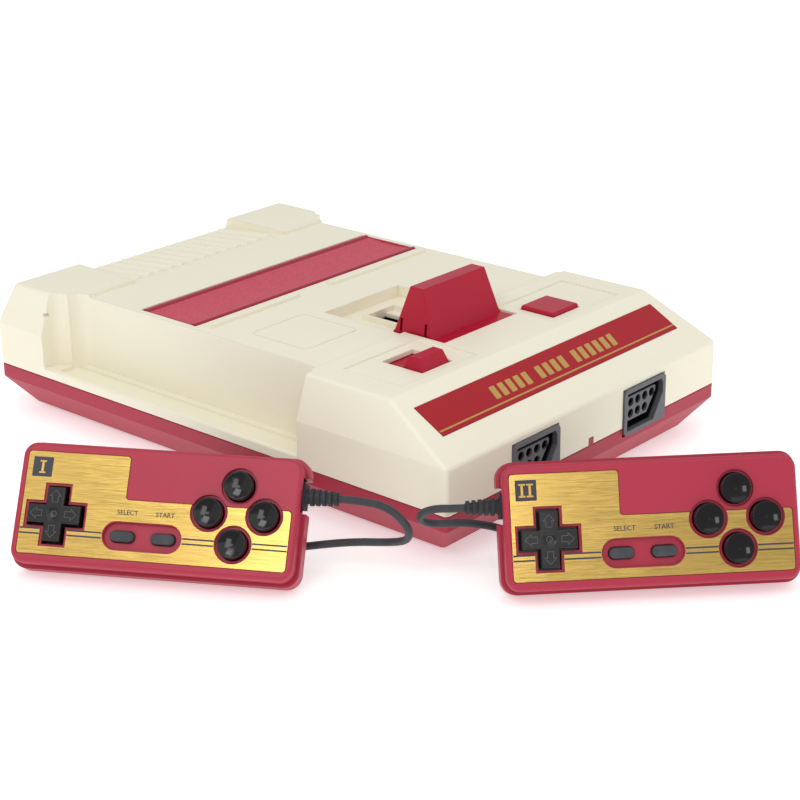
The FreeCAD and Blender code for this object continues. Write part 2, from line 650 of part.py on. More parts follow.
def make_face_plate():
    plate = plate_outline(-0.05, -0.1, 0.5)
    cuts = [cross_prism(CROSS_SPAN + 3.4, CROSS_ARM + 3.4, -2, 3)]
    cuts += [rod((x, y, -2), RING_R + 0.4, 6) for x, y in ROUND_BUTTONS.values()]
    cuts.append(pill(TROUGH_W + 0.6, TROUGH_H + 0.6, -3, 3, TROUGH))
    return plate.cut(cuts)


def make_back_shell(pad):
    shell = slab(PAD_W, PAD_H, PAD_R, -PAD_T, SPLIT)
    shell = shell.makeFillet(FOOT_ROUND, [e for e in shell.Edges if e.BoundBox.ZMax < -PAD_T + 0.1])
    inner = slab(PAD_W - 2 * SKIN, PAD_H - 2 * SKIN, PAD_R - SKIN, -PAD_T + SKIN, 2)
    shell = shell.cut(inner)
    # rim that steps in to meet the front shell
    rim = slab(PAD_W - 2, PAD_H - 2, PAD_R - 1, SPLIT - 1.3, SPLIT)
    rim = rim.cut(slab(PAD_W - 2 * 3.4, PAD_H - 2 * 3.4, PAD_R - 3.0, SPLIT - 3, SPLIT + 2))
    bosses = [rod((x, y, -PAD_T + 0.5), 2.9, PAD_T - 9.4 - 0.5) for x, y in screw_places()]
    shelf = [box(x - 1, x + 1, -14, 14, -PAD_T + 0.5, -9.9) for x in (-25.0, 5.0, 34.0)]
    shell = shell.fuse([rim] + bosses + shelf)
    cuts = [rod((x, y, -20), 1.25, 14) for x, y in screw_places()]
    cuts += [rod((x, y, -20), 2.1, 20 - PAD_T + 2.2) for x, y in screw_places()]
    cuts.append(gland_notch(pad, 3.0))
    cuts.append(gland_bore(pad, 2.9))
    return shell.cut(cuts)


def make_pad_screws():
    screws = []
    for x, y in screw_places():
        head = rod((x, y, -PAD_T + 0.9), 1.9, 1.2)
        screws.append(head.fuse(rod((x, y, -PAD_T + 2.0), 0.9, 8.0)))
    return group(screws)


def make_cross():
    """Four way pad: a cross with raised arms, a dished middle and a flange inside the shell."""
    x, y = CROSS
    body = cross_prism(CROSS_SPAN, CROSS_ARM, -4.2, 2.6)
    body = body.makeFillet(0.5, [e for e in body.Edges if e.BoundBox.ZMin > 2.5])
    flange = cross_prism(CROSS_SPAN + 2.6, CROSS_ARM + 4.0, -4.2, -3.2)
    hub = rod((x, y, -5.6), 3.0, 2.0)
    body = fuse([body, flange, hub])
    dish = Part.makeSphere(6.0, V(x, y, 2.6 + 5.5))
    tilt_room = rod((x - 4, y, -5.7), 1.0, 8, V(1, 0, 0))
    socket = box(x - 4, x + 4, y - 1.0, y + 1.0, -8, -5.7)
    return body.cut([dish, tilt_room, socket])


def make_cross_pivot():
    """Short axle that carries the cross; it rocks across the pad itself."""
    x, y = CROSS
    axle = rod((x - 2.6, y, -5.7), 0.9, 5.2, V(1, 0, 0))
    return axle.fuse(rod((x, y - 1.9, -6.35), 0.5, 3.8, V(0, 1, 0)))


def make_round_button(name):
    """Round button with a hollowed top and a flange that keeps it in the shell."""
    x, y = ROUND_BUTTONS[name]
    stem = rod((x, y, -4.8), BUTTON_R, 4.8 + BUTTON_TOP)
    stem = stem.makeFillet(0.4, [e for e in stem.Edges if e.BoundBox.ZMin > BUTTON_TOP - 0.1])
    dish = Part.makeSphere(DISH_R, V(x, y, BUTTON_TOP - 0.55 + DISH_R))
    flange = rod((x, y, -3.7), RING_R - 0.1, 1.0)
    return stem.fuse(flange).cut([rod((x, y, -5), 3.4, 5.0), dish])


def make_pill_button(name):
    place = pill_places()[name]
    body = pill(PILL_W, PILL_H, -4.6, 0.6, place)
    body = body.makeFillet(0.7, [e for e in body.Edges if e.BoundBox.ZMin > 0.5])
    return body.fuse(pill(PILL_W + 2.0, PILL_H + 2.0, -3.9, -3.0, place))


def make_membrane():
    sheet = box(-41.5, 41.5, -17.5, 17.5, -8.7, -7.9)
    domes = []
    for x, y in list(ROUND_BUTTONS.values()) + list(pill_places().values()):
        domes.append(Part.makeCone(2.6, 1.8, 1.5, V(x, y, -8.0)))
    x, y = CROSS
    for dx, dy in ((7, 0), (-5.0, 0), (0, 7), (0, -7)):
        domes.append(Part.makeCone(1.4, 1.0, 1.1, V(x + dx, y + dy, -8.0)))
    return fuse([sheet] + domes)


def make_pad_board():
    return box(-41.5, 41.5, -17.5, 17.5, -9.8, -8.72)


def make_relief(pad):
    """Ribbed strain relief: a collar held between the shells, a flange and five rings."""
    s = pad["side"]
    y = pad["gland_y"]
    axis = V(s, 0, 0)
    start = s * (PAD_W / 2 - 4.9)
    collar = rod((start, y, GLAND_Z), 2.7, 5.0, axis)
    flange = box(*sorted((s * (PAD_W / 2 - 2.7), s * (PAD_W / 2 - 0.6))), y - 4.4, y + 4.4,
                 GLAND_Z - 3.6, GLAND_Z + 3.6)
    cone = Part.makeCone(2.5, 1.7, RELIEF_L + 0.7, V(s * (PAD_W / 2 - 0.7), y, GLAND_Z), axis)
    rings = [rod((s * (PAD_W / 2 + 1.0 + 2.1 * i), y, GLAND_Z), 3.1 - 0.16 * i, 1.2, axis) for i in range(5)]
    return fuse([collar, flange, cone] + rings)


# ---- leads, in the pad's floor frame ----
def lead_path(points):
    """Straight runs joined by tangent arcs, each as large as its two runs allow."""
    points = [V(*p) for p in points]
    edges = []
    last = points[0]
    for before, here, after in zip(points, points[1:], points[2:]):
        to_before = (before - here).normalize()
        to_after = (after - here).normalize()
        turn = math.pi - to_before.getAngle(to_after)
        cut_back = 0.45 * min(here.distanceToPoint(before), here.distanceToPoint(after))
        start = here + to_before * cut_back
        end = here + to_after * cut_back
        radius = cut_back / math.tan(turn / 2)
        centre_way = (to_before + to_after).normalize()
        middle = here + centre_way * (radius / math.cos(turn / 2) - radius)
        edges.append(Part.LineSegment(last, start).toShape())
        edges.append(Part.Arc(start, middle, end).toShape())
        last = end
    edges.append(Part.LineSegment(last, points[-1]).toShape())
    return Part.Wire(edges)


def make_lead(pad):
    path = lead_path(pad["route"])
    first = V(*pad["route"][0])
    way = V(*pad["route"][1]) - first
    section = Part.Wire([Part.makeCircle(LEAD_D / 2, first, way)])
    tube = path.makePipeShell([section], True, True)
    return tube.cut(make_coil(pad))


def make_coil(pad):
    """The put-away length of the lead, as the closed outer shape of its hank."""
    x, y = pad["coil"]
    ring = rod((x, y, 0), COIL_R, COIL_H).cut(rod((x, y, -1), COIL_HOLE, COIL_H + 2))
    return ring.makeFillet(3.0, [e for e in ring.Edges if isinstance(e.Curve, Part.Circle)])


def make_plug(pad):
    """Seven pole plug: a keyed shroud that goes round the port's core, a grip and a tapered tail."""
    s = pad["side"]
    x, y = pad["coil"]
    x0 = x + s * 18.0
    nose = x0 + s * (PLUG_L - SHROUD_L)
    key = [(-11.65, 7.35), (10.45, 7.35), (11.65, 5.35), (11.65, 1.6), (5.45, -7.35), (-11.65, -7.35)]
    shroud = polygon([(nose, -s * kx, POLE_Z + kz) for kx, kz in key]).extrude(V(s * SHROUD_L, 0, 0))
    hollow = polygon([(nose + s * 1.6, -s * cx, POLE_Z + cz) for cx, cz in CORE]).makeOffset2D(0.4, 2)
    shroud = shroud.cut(hollow.extrude(V(s * SHROUD_L, 0, 0)))
    grip = box(*sorted((x0 + s * 4, nose)), -PLUG_W / 2, PLUG_W / 2, 0.0, PLUG_H)
    grip = grip.makeFillet(1.8, [e for e in grip.Edges if along(e, V(1, 0, 0))])
    hollows = [rod((x0 + s * 13, side * (PLUG_W / 2 + 7.2), -1), 8.0, PLUG_H + 2) for side in SIDES]
    tail = Part.makeCone(2.0, 4.2, 10, V(x0 - s * 6.0, 0, POLE_Z), V(s, 0, 0))
    body = fuse([shroud, grip.cut(hollows), tail])
    body.translate(V(0, y + COIL_OUTER, 0))
    return body.cut(make_coil(pad))


def stand(pad, shape):
    """From the pad's own frame to the console's: tipped back on its foot edge."""
    shape = shape.copy()
    shape.translate(V(0, PAD_H / 2, PAD_T))
    shape.rotate(V(0, 0, 0), V(1, 0, 0), 90 - pad["tip"])
    tip = math.radians(pad["tip"])
    shape.translate(V(0, 0, -FOOT_ROUND * (math.cos(tip) + math.sin(tip) - 1)))
    return lay(pad, shape)


def lay(pad, shape):
    """From the pad's floor frame to the console's."""
    shape = shape.copy()
    shape.rotate(V(0, 0, 0), V(0, 0, 1), pad["heading"])
    shape.translate(V(pad["foot"][0], pad["foot"][1], 0))
    return shape


def build_console():
    export("upper_case", make_upper_case())
    export("lower_case", make_lower_case())
    export("nameplate", nameplate_solid(0, 0.55))
    export("ports", group([make_port(side) for side in SIDES]))
    export("port_inserts", make_port_inserts())
    export("port_pins", make_port_pins())
    export("main_board", make_main_board())
    export("cartridge_connector", make_cartridge_connector())
    export("connector_contacts", make_contacts())
    export("board_components", make_board_components())
    export("heat_sink", make_regulator())
    export("dc_jack", make_dc_jack())
    export("av_jacks", make_av_jacks())
    export("power_switch", make_power_switch())
    export("reset_switch", make_reset_switch())
    export("switch_bracket", make_switch_bracket())
    export("power_slider", make_power_slider())
    export("reset_button", make_reset_button())
    export("eject_lever", make_eject_lever())
    export("ejector", make_ejector())
    export("flap", make_flap())
    export("flap_pin", make_flap_pin())
    export("feet", make_feet())
    export("case_screws", make_case_screws())


def build_pad(name, pad):
    pieces = {
        "front_shell": make_front_shell(pad),
        "back_shell": make_back_shell(pad),
        "face_plate": make_face_plate(),
        "cross_pivot": make_cross_pivot(),
        "cross": make_cross(),
        "select": make_pill_button("select"),
        "start": make_pill_button("start"),
        "membrane": make_membrane(),
        "board": make_pad_board(),
        "screws": make_pad_screws(),
        "relief": make_relief(pad),
    }
    for button in ROUND_BUTTONS:
        pieces["button_" + button] = make_round_button(button)
    for piece, shape in pieces.items():
        export(name + "_" + piece, stand(pad, shape))
    export(name + "_lead", lay(pad, make_lead(pad)))
    export(name + "_coil", lay(pad, make_coil(pad)))
    export(name + "_plug", lay(pad, make_plug(pad)))


def main():
    os.makedirs("parts", exist_ok=True)
    build_console()
    for name, pad in PADS.items():
        build_pad(name, pad)


main()
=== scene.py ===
"""Looks of a video game console with two wired game pads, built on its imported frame.

Lengths in the tables below are millimetres. A pad's face is drawn in the pad's own
frame: x along the pad, y up its face, z out of it. A lead is drawn in its pad's floor
frame: x along the pad, y behind it, z up.
"""

import math

import bmesh
import bpy
from mathutils import Matrix, Vector


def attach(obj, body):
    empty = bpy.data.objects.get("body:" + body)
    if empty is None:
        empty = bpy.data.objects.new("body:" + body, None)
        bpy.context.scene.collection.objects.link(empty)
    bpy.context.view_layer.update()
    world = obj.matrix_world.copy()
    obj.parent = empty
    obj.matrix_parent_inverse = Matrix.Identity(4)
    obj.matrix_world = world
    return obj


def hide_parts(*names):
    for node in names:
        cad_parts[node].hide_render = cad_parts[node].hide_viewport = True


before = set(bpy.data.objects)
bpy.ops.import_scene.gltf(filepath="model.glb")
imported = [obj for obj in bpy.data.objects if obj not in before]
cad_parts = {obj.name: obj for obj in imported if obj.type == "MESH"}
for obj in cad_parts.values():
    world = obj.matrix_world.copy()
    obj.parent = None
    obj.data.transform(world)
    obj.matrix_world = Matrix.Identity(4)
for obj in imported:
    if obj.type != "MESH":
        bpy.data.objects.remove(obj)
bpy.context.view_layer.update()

bl_info = {
    "name": "Game console looks",
    "version": (1, 0, 0),
    "blender": (4, 5, 0),
    "location": "3D View > Sidebar > Console",
    "description": "Finishes, leads and printed marks of a game console with two pads",
    "category": "Object",
}

MM = 0.001

# ---- console ----
DEPTH = 246.0
FRONT_TOP = 37.5
DECK = 54.4
MID_DECK = 53.2
SLOPE_RUN = 31.2
NAMEPLATE_FACE = 0.2
FLAP_HOLLOW = (146.6, 170.6)    # measured back from the front face
FLAP_EDGE = 0.3
PORT_LIP = (1.0, 2.0)           # depth over which painted shade turns a port from grey to black

# ---- pads ----
PAD_H = 45.0
PAD_T = 14.0
FOOT_ROUND = 2.2
PLATE_TOP = 0.5
CROSS_TOP = 2.6
CROSS_MIDDLE = (-35.5, -4.1)
POLES = [(-7.9 + 4.7 * i, 3.2) for i in range(4)] + [(-7.9 + 4.7 * i, -1.5) for i in range(3)]

# ---- leads ----
COIL_LOW = 1.7
COIL_OUTER = 19.6
POLE_Z = 8.2
PADS = {
    "pad_1": dict(
        heading=-59.8, tip=35.1, foot=(-155.2, -50.75), side=1, gland_y=9.6,
        coil=(-30.0, 33.0), numeral=1,
        route=[(62.4, 12.7, 29.4), (71.5, 12.7, 29.4), (81.0, 8.0, 29.6), (87.2, 8.8, 22.8),
               (86.6, 13.2, 15.6), (79.5, 18.4, 11.6), (64.0, 20.0, 10.0), (42.5, 17.6, 6.9),
               (21.0, 15.2, 3.4), (2.0, 13.6, 1.5), (-22.0, 13.4, 1.5)]),
    "pad_2": dict(
        heading=-44.1, tip=25.8, foot=(-51.3, -184.7), side=-1, gland_y=7.8,
        coil=(30.0, 30.0), numeral=2,
        route=[(-62.4, 6.9, 29.6), (-66.8, 6.9, 29.6), (-72.4, 6.5, 30.1), (-77.0, 8.9, 27.7),
               (-77.4, 13.6, 22.9), (-73.2, 16.7, 19.8), (-67.0, 16.6, 19.6), (-60.0, 16.6, 19.6),
               (-47.5, 17.2, 16.4), (-34.0, 16.0, 9.4), (-20.0, 13.2, 4.4), (-4.0, 10.8, 1.6),
               (22.0, 10.4, 1.5)]),
}
# turns made, radius and height of the lead as it is wound: four layers of up to three turns
WINDING = [(0.0, 0, 0), (0.8, 0, 0), (1.0, 1, 0), (1.8, 1, 0), (2.0, 2, 0), (2.6, 2, 0),
           (2.8, 2, 1), (3.4, 2, 1), (3.6, 1, 1), (4.4, 1, 1), (4.6, 0, 1), (5.2, 0, 1),
           (5.4, 0, 2), (6.0, 0, 2), (6.2, 1, 2), (7.0, 1, 2), (7.2, 2, 2), (7.8, 2, 2),
           (8.0, 2, 3), (8.6, 2, 3), (8.8, 1, 3), (9.6, 1, 3), (9.8, 0, 3), (10.5, 0, 3)]
POINTS_PER_TURN = 16
TAIL_IN = ((5.0, 10.1), (9.5, 9.0), (13.0, POLE_Z), (16.0, POLE_Z))    # way into the plug: ahead, up
TIE_LOOP = (12.35, 21.25, 0.2, 11.7, 1.5)   # inner and outer radius, low, high, corner
TIE_MIDDLE = (16.8, 6.0)
TIE_ANGLES = (35.0, 215.0)
PIN_MIDDLE = 43.2                           # along the plug, from the middle of the coil
PIN_LENGTH = 6.4
PIN_RADIUS = 0.95
PIN_NOSE = 0.45


def paint(red, green, blue):
    """Linear colour of a screen colour given from 0 to 255."""
    def linear(c):
        c /= 255
        return c / 12.92 if c <= 0.04045 else ((c + 0.055) / 1.055) ** 2.4
    return (linear(red), linear(green), linear(blue), 1.0)


def shade(colour, factor):
    return tuple(min(c * factor, 1.0) for c in colour[:3]) + (1.0,)


# ---- places ----
def floor_matrix(pad):
    """From a pad's floor frame, in millimetres, to the console's frame, in metres."""
    x, y = pad["foot"]
    turn = Matrix.Rotation(math.radians(pad["heading"]), 4, "Z")
    return Matrix.Scale(MM, 4) @ Matrix.Translation((x, y, 0)) @ turn


def face_matrix(pad):
    """From a pad's own frame, in millimetres, to the console's frame, in metres."""
    tip = math.radians(pad["tip"])
    drop = FOOT_ROUND * (math.cos(tip) + math.sin(tip) - 1)
    lift = Matrix.Translation((0, 0, -drop)) @ Matrix.Rotation(math.pi / 2 - tip, 4, "X")
    return floor_matrix(pad) @ lift @ Matrix.Translation((0, PAD_H / 2, PAD_T))


def slope_matrix():
    """From the leaning front face: x along it, y up it from its lower edge, z out of it."""
    lean = Matrix.Rotation(math.atan2(DECK - FRONT_TOP, SLOPE_RUN), 4, "X")
    return Matrix.Scale(MM, 4) @ Matrix.Translation((0, -DEPTH / 2, FRONT_TOP)) @ lean


# ---- finishes ----
class Value:
    """A socket of a finish. Sums on it add Math nodes."""

    def __init__(self, finish, socket):
        self.finish = finish
        self.socket = socket

    def math(self, operation, *terms):
        return self.finish.node("ShaderNodeMath", {"operation": operation}, dict(enumerate(terms)))

    def __add__(self, other):
        return self.math("ADD", self, other)

    def __radd__(self, other):
        return self.math("ADD", other, self)

    def __sub__(self, other):
        return self.math("SUBTRACT", self, other)

    def __rsub__(self, other):
        return self.math("SUBTRACT", other, self)

    def __mul__(self, other):
        return self.math("MULTIPLY", self, other)

    def __rmul__(self, other):
        return self.math("MULTIPLY", other, self)

    def between(self, low, high):
        """0 below low, 1 above high, and smooth between them."""
        inputs = {"Value": self, "From Min": low, "From Max": high, "To Min": 0.0, "To Max": 1.0}
        return self.finish.node("ShaderNodeMapRange", {"interpolation_type": "SMOOTHSTEP"}, inputs)


class Finish:
    """A material being made: one Principled shader and the nodes that feed it."""

    def __init__(self, name, **fixed):
        self.material = bpy.data.materials.new(name)
        self.material.use_nodes = True
        self.tree = self.material.node_tree
        self.tree.nodes.clear()
        self.shader = self.tree.nodes.new("ShaderNodeBsdfPrincipled")
        output = self.tree.nodes.new("ShaderNodeOutputMaterial")
        self.tree.links.new(self.shader.outputs[0], output.inputs["Surface"])
        for socket, value in fixed.items():
            self.feed(socket.replace("_", " "), value)

    def feed(self, socket, value):
        self.put(self.shader.inputs[socket], value)

    def put(self, socket, value):
        if isinstance(value, Value):
            self.tree.links.new(value.socket, socket)
        elif socket.type == "RGBA":
            socket.default_value = (*value[:3], 1.0)
        else:
            socket.default_value = value

    def node(self, kind, settings=None, inputs=None, out=0):
        """Adds a node, sets it, feeds it and gives one of its outputs."""
        made = self.tree.nodes.new(kind)
        for key, value in (settings or {}).items():
            setattr(made, key, value)
        for key, value in (inputs or {}).items():
            self.put(made.inputs[key], value)
        return Value(self, made.outputs[out])

    def place(self, scale=(1000.0, 1000.0, 1000.0), pad=None):
        """The point on the piece, in millimetres times the scale, in the pad's frame if one is given."""
        point = self.node("ShaderNodeTexCoord", out="Object")
        if pad:
            frame_of = face_matrix(pad)
            turn = frame_of.to_3x3().normalized().to_euler()
            inputs = {"Vector": point, "Location": frame_of.translation, "Rotation": turn}
            point = self.node("ShaderNodeMapping", {"vector_type": "TEXTURE"}, inputs)
        return self.node("ShaderNodeVectorMath", {"operation": "MULTIPLY"}, {0: point, 1: scale})

    def noise(self, at, scale, detail=2.0, roughness=0.5):
        inputs = {"Vector": at, "Scale": scale, "Detail": detail, "Roughness": roughness}
        return self.node("ShaderNodeTexNoise", None, inputs, "Fac")

    def mix(self, share, first, second):
        """Colours mixed by a share from 0 to 1."""
        return self.node("ShaderNodeMix", {"data_type": "RGBA"}, {0: share, 6: first, 7: second}, 2)

    def rounded(self, radius):
        """The surface direction with its edges softened by a radius in millimetres."""
        return self.node("ShaderNodeBevel", {"samples": 4}, {"Radius": radius * MM})

    def edge(self, rounded):
        """1 on a sharp edge and 0 on a flat face."""
        flat = self.node("ShaderNodeNewGeometry", out="Normal")
        inputs = {0: rounded, 1: flat}
        same = self.node("ShaderNodeVectorMath", {"operation": "DOT_PRODUCT"}, inputs, "Value")
        return (1.0 - same).between(0.02, 0.2)

    def relief(self, height, depth, normal=None, strength=1.0):
        """Feeds the surface direction from a height from 0 to 1 and its depth in millimetres."""
        inputs = {"Height": height, "Distance": depth * MM, "Strength": strength}
        if normal:
            inputs["Normal"] = normal
        self.feed("Normal", self.node("ShaderNodeBump", None, inputs))


def moulded(name, colour, grain=0.012, pitch=2.4, rough=(0.38, 0.5), soft=0.35, edge_highlight=0.25, drift=0.05,
            **fixed):
    """Moulded plastic: spark eroded grain, soft edges, a slow drift of colour, polished edges and a painted
    highlight that lightens its edges.
    """
    finish = Finish(name, **fixed)
    at = finish.place()
    cloud = finish.noise(at, 0.035, 3.0)
    fine = finish.noise(at, pitch, 3.0, 0.62)
    rounded = finish.rounded(soft)
    edge = finish.edge(rounded)
    body = finish.mix(cloud, shade(colour, 1 - drift), shade(colour, 1 + drift))
    specks = finish.mix(fine.between(0.35, 0.7) * 0.35, body, shade(colour, 0.9))
    # painted highlight: sharp edges lightened in the base colour, where light would catch them
    finish.feed("Base Color", finish.mix(edge * edge_highlight, specks, shade(colour, 1.35)))
    scuffs = finish.noise(at, 0.16, 5.0, 0.7).between(0.5, 0.8)
    low, high = rough
    finish.feed("Roughness", low + (high - low) * fine + 0.06 * scuffs - 0.08 * edge)
    finish.relief(fine, grain, rounded)
    return finish.material


def polished(name, colour, rough=0.14, soft=0.3, **fixed):
    """Gloss plastic with hairline scratches, a trace of handling and a painted highlight along its edges.
    """
    finish = Finish(name, **fixed)
    at = finish.place()
    smear = finish.noise(at, 0.22, 4.0, 0.6)
    lines = finish.noise(finish.place((300.0, 6000.0, 1200.0)), 1.0, 2.0)
    rounded = finish.rounded(soft)
    edge = finish.edge(rounded)
    body = finish.mix(smear, shade(colour, 0.85), shade(colour, 1.15))
    # painted highlight: edges lightened to twice the colour
    finish.feed("Base Color", finish.mix(edge * 0.4, body, shade(colour, 2.0)))
    finish.feed("Roughness", rough + 0.12 * smear.between(0.45, 0.75) + 0.05 * lines.between(0.6, 0.8))
    finish.relief(lines.between(0.62, 0.8), 0.002, rounded)
    return finish.material


# pale pink painted sheen for the flap's grained hollow
PAINTED_SHEEN = paint(216, 90, 108)


def flap_finish(colour):
    """The flap: a grained hollow with a pale painted sheen, between polished rims painted a shade darker.
    """
    finish = Finish("flap_crimson", Specular_IOR_Level=0.5)
    at = finish.place()
    back = finish.node("ShaderNodeSeparateXYZ", None, {0: at}, "Y")
    start, end = (y - DEPTH / 2 for y in FLAP_HOLLOW)
    rise = back.between(start - FLAP_EDGE, start + FLAP_EDGE)
    fall = back.between(end - FLAP_EDGE, end + FLAP_EDGE)
    hollow = rise * (1.0 - fall)
    fine = finish.noise(at, 2.6, 3.0, 0.65)
    rounded = finish.rounded(0.25)
    # painted sheen mixed into the hollow; the rims are painted a shade darker
    sheen_painted = finish.mix(fine.between(0.35, 0.65), shade(colour, 1.0), PAINTED_SHEEN)
    finish.feed("Base Color", finish.mix(hollow, shade(colour, 0.8), sheen_painted))
    finish.feed("Roughness", 0.22 + hollow * (0.24 + 0.12 * fine))
    finish.relief(fine * hollow, 0.02, rounded)
    return finish.material


def port_finish():
    """The pad ports: grey at the mouth, with painted shade turning them black in their hollows."""
    finish = Finish("port_grey")
    at = finish.place()
    back = finish.node("ShaderNodeSeparateXYZ", None, {0: at}, "Y")
    hollow = back.between(*(y - DEPTH / 2 for y in PORT_LIP))
    fine = finish.noise(at, 2.6, 3.0, 0.65)
    face = finish.mix(fine.between(0.35, 0.7), paint(100, 101, 105), paint(86, 87, 92))
    # painted shade: black deeper in the hollow
    finish.feed("Base Color", finish.mix(hollow, face, paint(13, 13, 15)))
    finish.feed("Roughness", 0.42 + 0.14 * fine)
    finish.relief(fine, 0.02, finish.rounded(0.25))
    return finish.material


def rubber(name, colour, rough=0.72, soft=0.3):
    """Soft dark rubber or cable jacket with a dusty bloom."""
    finish = Finish(name, Specular_IOR_Level=0.4)
    at = finish.place()
    fine = finish.noise(at, 3.2, 3.0, 0.7)
    bloom = finish.noise(at, 0.18, 4.0, 0.6)
    rounded = finish.rounded(soft)
    body = finish.mix(bloom.between(0.35, 0.75), colour, shade(colour, 1.5))
    finish.feed("Base Color", finish.mix(fine.between(0.55, 0.8) * 0.4, body, shade(colour, 0.6)))
    finish.feed("Roughness", rough - 0.1 + 0.2 * bloom)
    finish.relief(fine, 0.014, rounded)
    return finish.material


def brushed_gold(name, colour, pad):
    """Foil over the pad's face, brushed along the pad."""
    finish = Finish(name, Metallic=1.0)
    hairs = finish.noise(finish.place((120.0, 4200.0, 3000.0), pad), 1.0, 4.0, 0.75)
    streaks = finish.noise(finish.place((75.0, 1700.0, 900.0), pad), 1.0, 3.0, 0.7)
    cloud = finish.noise(finish.place((22.0, 46.0, 40.0), pad), 1.0, 2.0)
    body = finish.mix(hairs.between(0.32, 0.66), shade(colour, 0.66), colour)
    body = finish.mix(streaks.between(0.48, 0.68) * 0.6, body, shade(colour, 0.42))
    finish.feed("Base Color", finish.mix(cloud.between(0.35, 0.65) * 0.45, body, shade(colour, 0.66)))
    finish.feed("Roughness", 0.12 + 0.14 * hairs + 0.08 * cloud)
    finish.relief(hairs * 0.6 + streaks * 0.4, 0.004, strength=0.5)
    return finish.material


def printed(name, colour, metallic=0.0, rough=0.4):
    """Screen printed ink, a little uneven in its cover."""
    finish = Finish(name, Metallic=metallic)
    at = finish.place()
    cover = finish.noise(at, 1.4, 3.0, 0.6)
    finish.feed("Base Color", finish.mix(cover.between(0.35, 0.7), shade(colour, 0.88), colour))
    finish.feed("Roughness", rough + 0.12 * cover)
    finish.relief(cover, 0.004)
    return finish.material


def metal(name, colour, rough, stretch):
    """Bare metal with drawing lines."""
    finish = Finish(name, Metallic=1.0)
    lines = finish.noise(finish.place(stretch), 1.0, 3.0, 0.6)
    stain = finish.noise(finish.place(), 0.25, 3.0)
    finish.feed("Base Color", finish.mix(stain, shade(colour, 0.8), colour))
    finish.feed("Roughness", rough + 0.14 * lines)
    finish.relief(lines, 0.005, finish.rounded(0.12))
    return finish.material


def laminate(name):
    """Circuit board: green mask over copper tracks, with a weave under it."""
    finish = Finish(name, Coat_Roughness=0.2)
    at = finish.place()
    squares = {"Vector": at, "Scale": 0.22, "Color1": (0, 0, 0, 1), "Color2": (1, 1, 1, 1)}
    tracks = finish.node("ShaderNodeTexBrick", {"offset": 0.37, "squash": 0.6}, squares, "Fac")
    weave = finish.noise(at, 1.8, 2.0)
    mask = finish.mix(weave, paint(16, 74, 38), paint(24, 92, 50))
    finish.feed("Base Color", finish.mix(tracks, mask, paint(66, 130, 70)))
    finish.feed("Roughness", 0.3 + 0.15 * weave)
    finish.relief(tracks, 0.03)
    return finish.material


# ---- shapes ----
def make_piece(name, mesh_maker, matrix, material, body):
    """Builds a mesh in its drawing frame, moves it into place and lets it ride on its body."""
    mesh = bpy.data.meshes.new(name)
    shape = bmesh.new()
    mesh_maker(shape)
    bmesh.ops.recalc_face_normals(shape, faces=shape.faces)
    shape.to_mesh(mesh)
    shape.free()
    mesh.transform(matrix)
    mesh.materials.append(material)
    piece = bpy.data.objects.new(name, mesh)
    bpy.context.scene.collection.objects.link(piece)
    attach(piece, body)
    return piece


def prism(shape, outline, low, high, bevel=0.0):
    """Upright prism on an outline, with its upper rim bevelled."""
    bottom = [shape.verts.new((x, y, low)) for x, y in outline]
    top = [shape.verts.new((x, y, high)) for x, y in outline]
    shape.faces.new(bottom[::-1])
    cap = shape.faces.new(top)
    for i in range(len(outline)):
        j = (i + 1) % len(outline)
        shape.faces.new((bottom[i], bottom[j], top[j], top[i]))
    if bevel:
        bmesh.ops.bevel(shape, geom=list(cap.edges), offset=bevel, segments=2, affect="EDGES")


def bar(x0, x1, y0, y1):
    return [(x0, y0), (x1, y0), (x1, y1), (x0, y1)]


def rounded_bar(x0, x1, y0, y1, radius, steps=6):
    """Corners of a rectangle, rounded."""
    outline = []
    corners = [(x1 - radius, y0 + radius, -90), (x1 - radius, y1 - radius, 0),
               (x0 + radius, y1 - radius, 90), (x0 + radius, y0 + radius, 180)]
    for cx, cy, start in corners:
        for i in range(steps + 1):
            angle = math.radians(start + 90 * i / steps)
            outline.append((cx + radius * math.cos(angle), cy + radius * math.sin(angle)))
    return outline


def outline_strip(shape, outline, width, low, high):
    """A raised line that follows a closed outline."""
    count = len(outline)
    rings = []
    for offset, z in ((0, low), (0, high), (width, high), (width, low)):
        ring = []
        for i in range(count):
            before = Vector(outline[i - 1])
            here = Vector(outline[i])
            after = Vector(outline[(i + 1) % count])
            first = (here - before).normalized()
            second = (after - here).normalized()
            inward = (Vector((-first.y, first.x)) + Vector((-second.y, second.x))).normalized()
            reach = offset / max(inward.dot(Vector((-first.y, first.x))), 0.3)
            spot = here + inward * reach
            ring.append(shape.verts.new((spot.x, spot.y, z)))
        rings.append(ring)
    for near, far in zip(rings, rings[1:] + rings[:1]):
        for i in range(count):
            j = (i + 1) % count
            shape.faces.new((near[i], near[j], far[j], far[i]))


# ---- leads ----
def winding_point(pad, turns):
    """Control point of the coil after so many turns, in the pad's floor frame."""
    for (t0, ring0, layer0), (t1, ring1, layer1) in zip(WINDING, WINDING[1:]):
        if turns <= t1:
            share = (turns - t0) / (t1 - t0)
            break
    ring = ring0 + (ring1 - ring0) * share
    layer = layer0 + (layer1 - layer0) * share
    pitch = bpy.context.scene.console_looks.lead_diameter / MM
    swell = 0.75 + 0.25 * math.cos(2 * math.pi / POINTS_PER_TURN)
    radius = (COIL_OUTER - pitch * ring) / swell
    angle = 2 * math.pi * turns
    x, y = pad["coil"]
    side = pad["side"]
    return (x - side * radius * math.sin(angle), y - radius * math.cos(angle), COIL_LOW + pitch * layer)


